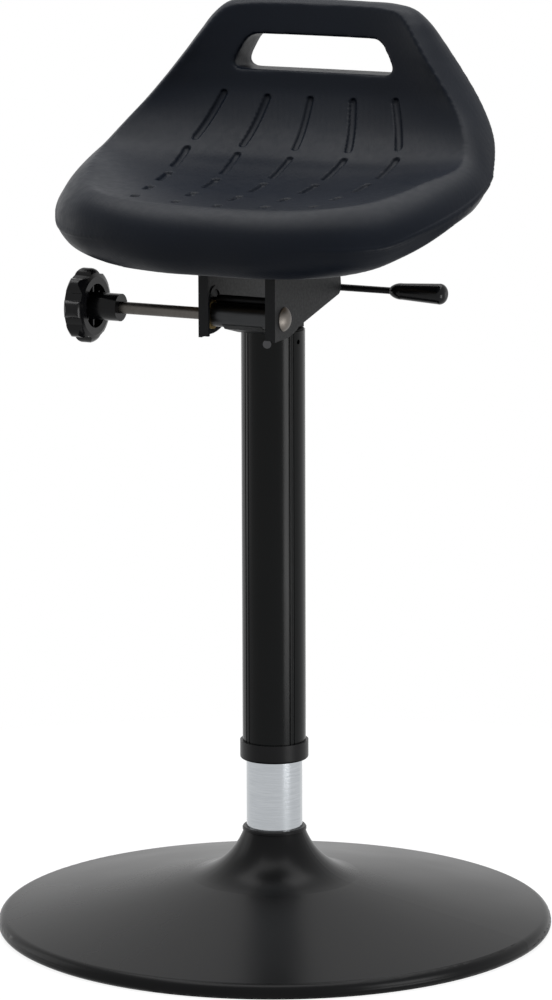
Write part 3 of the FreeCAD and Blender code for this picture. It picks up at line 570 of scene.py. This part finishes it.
# The hand slot's outline, wider at the bottom, with round corners.
def slot_outline(grow):
    low, high = SLOT_LOW - grow, SLOT_HIGH + grow
    half_low, half_high = SLOT_HALF_LOW + grow, SLOT_HALF_HIGH + grow
    corners = [(-half_low, low), (half_low, low), (half_high, high), (-half_high, high)]
    points = []
    for i, (corner, radius) in enumerate(zip(corners, SLOT_RADII)):
        here = Vector(corner)
        before = (Vector(corners[i - 1]) - here).normalized()
        after = (Vector(corners[(i + 1) % 4]) - here).normalized()
        reach = (radius + grow) / math.tan(before.angle(after) / 2)
        for k in range(SLOT_CORNER_STEPS + 1):
            t = k / SLOT_CORNER_STEPS
            a = here + before * reach
            b = here + after * reach
            points.append(a * (1 - t) ** 2 + here * (2 * t * (1 - t)) + b * t ** 2)
    return points


def slot_tool():
    rings = []
    for back, grow in SLOT_FLARE:
        rings.append([(p.x * MM, back * MM, p.y * MM) for p in slot_outline(grow)])
    return lofted("slot_tool", rings)


def box_tool(low, high):
    vertices = [(x, y, z) for x in (low[0], high[0]) for y in (low[1], high[1])
                for z in (low[2], high[2])]
    faces = [(0, 1, 3, 2), (4, 6, 7, 5), (0, 4, 5, 1), (2, 3, 7, 6), (0, 2, 6, 4),
             (1, 5, 7, 3)]
    return mesh_object("box_tool", vertices, faces)


# Each pass moves every point halfway to the mean of its neighbours.
def soften(mesh, passes):
    co = np.zeros(len(mesh.vertices) * 3)
    mesh.vertices.foreach_get("co", co)
    co = co.reshape(-1, 3)
    edges = np.zeros(len(mesh.edges) * 2, int)
    mesh.edges.foreach_get("vertices", edges)
    edges = edges.reshape(-1, 2)
    count = np.bincount(edges.ravel(), minlength=len(co))[:, None]
    for _ in range(passes):
        total = np.zeros_like(co)
        np.add.at(total, edges[:, 0], co[edges[:, 1]])
        np.add.at(total, edges[:, 1], co[edges[:, 0]])
        co += (total / count - co) * 0.5
    mesh.vertices.foreach_set("co", co.ravel())
    mesh.update()


def surface(mesh):
    return BVHTree.FromPolygons([v.co for v in mesh.vertices],
                                [tuple(p.vertices) for p in mesh.polygons])


# Points in small steps along each channel, on the pan's surface.
def channel_lines(mesh):
    tree = surface(mesh)
    lines = []
    for back_end, front_end in CHANNELS:
        for side in ((1, -1) if back_end[0] else (1,)):
            start = Vector(front_end) * MM
            end = Vector(back_end) * MM
            start.x *= side
            end.x *= side
            count = int((end - start).length / (CHANNEL_STEP * MM))
            lines.append([tree.find_nearest(start.lerp(end, k / count))[0]
                          for k in range(count + 1)])
    return lines


# Moves the skin within half a width of the lines along its normal: inwards for a
# channel, outwards for a negative depth. Only points above low count, and with level
# set, only those that don't face down. The larger the softness, the softer the sides. Each line
# fades in and out over a share of its length.
def press_lines(piece, lines, half_width, depth, low, level, softness, fade=0.0):
    mesh = piece.data
    points = [p for line in lines for p in line]
    strengths = [min(1.0, min(k + 1, len(line) - k) / (1 + fade * len(line)))
                 for line in lines for k in range(len(line))]
    tree = KDTree(len(points))
    for i, p in enumerate(points):
        tree.insert(p, i)
    tree.balance()
    edit = bmesh.new()
    edit.from_mesh(mesh)

    def counts(v):
        return v.co.z > low and (v.normal.z > FACING_DOWN or not level)

    reach = (half_width + FINE_BORDER) * MM
    chosen = {v for v in edit.verts if counts(v) and tree.find(v.co)[2] < reach}
    edges = [e for e in edit.edges if e.verts[0] in chosen and e.verts[1] in chosen]
    bmesh.ops.subdivide_edges(edit, edges=edges, cuts=1, use_grid_fill=True, smooth=0.0)
    bmesh.ops.triangulate(edit, faces=[f for f in edit.faces if len(f.verts) > 4])
    edit.normal_update()
    moves = []
    for v in edit.verts:
        _, nearest, distance = tree.find(v.co)
        t = distance / (half_width * MM)
        if counts(v) and t < 1.0:
            push = depth * MM * strengths[nearest] * (1 - t ** PROFILE_POWER) ** softness
            moves.append((v, v.normal * -push))
    for v, move in moves:
        v.co += move
    edit.to_mesh(mesh)
    edit.free()


# Points on the skin along one of the seat's lines, on both sides, between two
# stations.
def ridge_lines(mesh, line, first, last):
    tree = surface(mesh)
    sampled, _, station = seat_lines()
    run = sampled[line][(station >= first) & (station <= last)] * MM
    lines = []
    for side in (1, -1):
        corners = [Vector(p * (side, 1, 1)) for p in run]
        dense = [a.lerp(b, k / EDGE_STEPS) for a, b in zip(corners, corners[1:])
                 for k in range(EDGE_STEPS)]
        lines.append([tree.find_nearest(p)[0] for p in dense])
    return lines


def make_seat(skin):
    pad = seat_blank()
    carve(pad, slot_tool())
    low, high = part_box("seat_board")
    gap = Vector((BOARD_GAP, BOARD_GAP, BOARD_GAP))
    bottom = low - gap
    bottom.z = POCKET_BOTTOM
    carve(pad, box_tool(bottom, high + gap))
    remesh = pad.modifiers.new("even", "REMESH")
    remesh.mode = "VOXEL"
    remesh.voxel_size = MESH_SIZE
    apply_modifiers(pad)
    soften(pad.data, SOFTEN_PASSES)
    press_lines(pad, channel_lines(pad.data), CHANNEL_HALF_WIDTH, CHANNEL_DEPTH, PAN_LOWEST,
                True, CHANNEL_SOFTNESS)
    press_lines(pad, ridge_lines(pad.data, EDGE_LINE, *EDGE_STATIONS), EDGE_HALF_WIDTH,
                -EDGE_HEIGHT, EDGE_LOWEST, False, EDGE_SOFTNESS, EDGE_FADE)
    for polygon in pad.data.polygons:
        polygon.use_smooth = True
    pad.data.materials.clear()
    pad.data.materials.append(skin)
    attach(pad, "seat")
    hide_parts("seat_pad")


# Floor, light and background

WHITE = (1.0, 1.0, 1.0, 1.0)
# The room's colour and strength as a light on the stool.
ROOM_COLOUR = (0.88, 0.95, 1.0, 1.0)
ROOM_STRENGTH = 0.15
# The floor is a round disc: radius in metres and corners. Its own light, where it is
# seen, brings it to white; as a surface that throws light back it is grey.
FLOOR_RADIUS = 0.8
FLOOR_CORNERS = 96
FLOOR_GLOW = 0.88
FLOOR_GREY = 0.2
# Where the lamps point, and each lamp's name, azimuth and elevation in degrees, then
# distance, width and height in metres, and radiance.
LAMP_TARGET = (0.0, 0.0, 0.45)
LAMPS = [
    ("top_light", -154.0, 88.0, 1.7, 2.2, 2.0, 3.4),
    ("right_light", 76.0, -12.0, 1.15, 0.5, 0.5, 7.0),
    ("left_light", -80.0, 5.0, 2.0, 1.1, 1.4, 1.2),
]


# One for rays from the camera, from gloss and through something, nought for the rest.
def sees_white(tree):
    path = tree.nodes.new("ShaderNodeLightPath")
    seen = path.outputs["Is Camera Ray"]
    for name in ("Is Glossy Ray", "Is Transmission Ray"):
        either = tree.nodes.new("ShaderNodeMath")
        either.operation = "MAXIMUM"
        tree.links.new(seen, either.inputs[0])
        tree.links.new(path.outputs[name], either.inputs[1])
        seen = either.outputs["Value"]
    return seen


def make_floor():
    turns = [2 * math.pi * k / FLOOR_CORNERS for k in range(FLOOR_CORNERS)]
    ring = [(FLOOR_RADIUS * math.cos(a), FLOOR_RADIUS * math.sin(a), 0.0) for a in turns]
    floor = mesh_object("floor", ring, [tuple(range(FLOOR_CORNERS))])
    n = Nodes("floor_white")
    n.set(Base_Color=(FLOOR_GREY, FLOOR_GREY, FLOOR_GREY, 1.0), Roughness=0.9,
          Specular_IOR_Level=0.0, Emission_Color=WHITE,
          Emission_Strength=n.spread(sees_white(n.tree), 0.0, FLOOR_GLOW, 0.0, 1.0))
    floor.data.materials.append(n.material)


# White where it is seen, directly, in metal and gloss, or through something. As a
# light it is a dim room.
def make_world():
    world = bpy.data.worlds.new("studio")
    bpy.context.scene.world = world
    world.use_nodes = True
    tree = world.node_tree
    tree.nodes.clear()
    output = tree.nodes.new("ShaderNodeOutputWorld")
    mix = tree.nodes.new("ShaderNodeMixShader")
    for place, colour, strength in ((1, ROOM_COLOUR, ROOM_STRENGTH), (2, WHITE, 1.0)):
        light = tree.nodes.new("ShaderNodeBackground")
        light.inputs["Color"].default_value = colour
        light.inputs["Strength"].default_value = strength
        tree.links.new(light.outputs["Background"], mix.inputs[place])
    tree.links.new(sees_white(tree), mix.inputs["Fac"])
    tree.links.new(mix.outputs["Shader"], output.inputs["Surface"])


# A flat lamp that points at the target, with the power that gives its radiance.
def softbox(name, azimuth, elevation, distance, width, height, radiance):
    a, e = math.radians(azimuth), math.radians(elevation)
    away = Vector((math.sin(a) * math.cos(e), -math.cos(a) * math.cos(e), math.sin(e)))
    data = bpy.data.lights.new(name, "AREA")
    data.shape = "RECTANGLE"
    data.size = width
    data.size_y = height
    data.energy = radiance * math.pi * width * height
    lamp = bpy.data.objects.new(name, data)
    lamp.location = Vector(LAMP_TARGET) + away * distance
    lamp.rotation_mode = "QUATERNION"
    lamp.rotation_quaternion = away.to_track_quat("Z", "Y")
    bpy.context.scene.collection.objects.link(lamp)


bpy.context.scene.view_settings.view_transform = "Standard"
make_camera()
make_world()
make_floor()
for lamp in LAMPS:
    softbox(*lamp)
paint_nodes()
make_seat(seat_skin())
